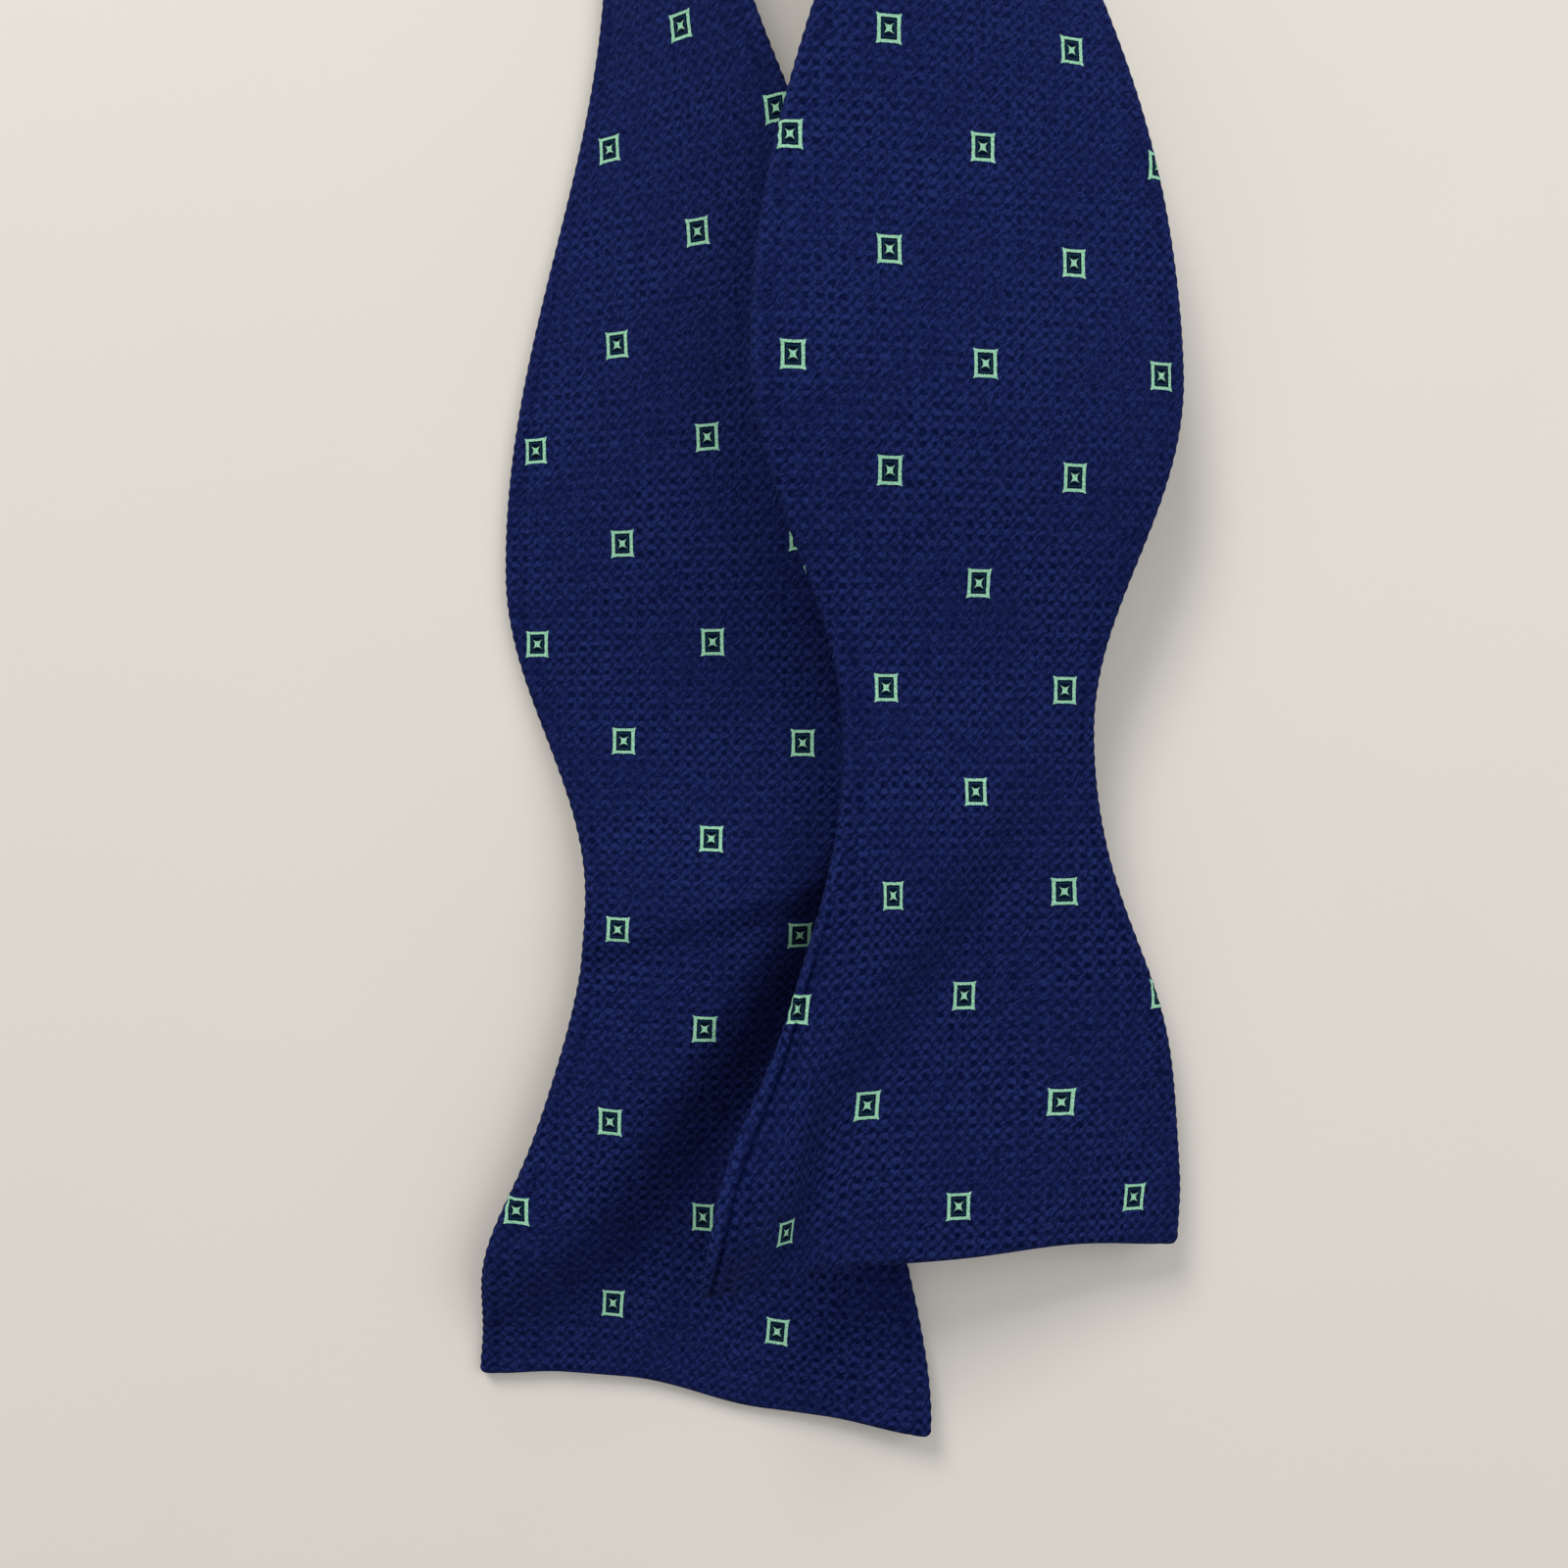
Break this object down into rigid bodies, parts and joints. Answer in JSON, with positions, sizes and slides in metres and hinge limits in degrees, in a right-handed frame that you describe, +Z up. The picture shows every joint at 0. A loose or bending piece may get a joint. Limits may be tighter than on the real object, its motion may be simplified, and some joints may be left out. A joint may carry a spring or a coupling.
{
  "type": "bow tie",
  "caption": "Self-tie butterfly bow tie laid open: two interlined blades on a neckband that stands on edge, with a sliding size adjuster, a hook and an eye.",
  "frame": {"origin": "middle of the footprint, on the surface that the tie lies on", "axes": "+X along the neckband's adjuster run, +Y from the blades' square ends towards the adjuster run, +Z up"},
  "size_m": [0.1576, 0.3502, 0.0268],
  "materials": {
    "navy_cloth": "matte textured weave with small mint squares",
    "interlining_canvas": "unbleached canvas",
    "nickel_hardware": "bright nickel plate",
    "label_tape": "satin tape, blank"
  },
  "bodies": {
    "right_half": {"right_face": "navy_cloth", "right_interlining": "interlining_canvas", "right_back": "navy_cloth", "strap_outer_run": "navy_cloth"},
    "right_tip": {"right_tip_face": "navy_cloth", "right_tip_interlining": "interlining_canvas", "right_tip_back": "navy_cloth"},
    "slider": {"adjuster_slide": "nickel_hardware", "slide_hem": "navy_cloth", "strap_return_run": "navy_cloth"},
    "hook": {"hook": "nickel_hardware", "strap_fold": "navy_cloth"},
    "left_half": {"eye": "nickel_hardware", "eye_hem": "navy_cloth", "left_face": "navy_cloth", "left_interlining": "interlining_canvas", "left_back": "navy_cloth", "fibre_label": "label_tape"}
  },
  "joints": [
    {"name": "right_waist_fold", "type": "hinge", "parent": "right_half", "child": "right_tip", "pos_m": [0.02355, -0.0771, 0.01562], "axis": [-0.9744, 0.001, 0.2249], "range_deg": [0, 120]},
    {"name": "size_adjust", "type": "slide", "parent": "right_half", "child": "slider", "axis": [-1, 0, 0], "range_m": [-0.013, 0.03], "deforming": ["strap_outer_run", "strap_return_run"]},
    {"name": "hook_travel", "type": "slide", "parent": "slider", "child": "hook", "axis": [-1, 0, 0], "range_m": [-0.0155, 0.007], "deforming": ["strap_return_run"]},
    {"name": "eye_swivel", "type": "hinge", "parent": "hook", "child": "left_half", "pos_m": [-0.0209, 0.1722, 0.0116], "axis": [0, 0, 1], "range_deg": [-20, 1.5]}
  ],
  "couplings": [
    {"joint": "hook_travel", "follows": "size_adjust", "ratio": -0.5}
  ]
}
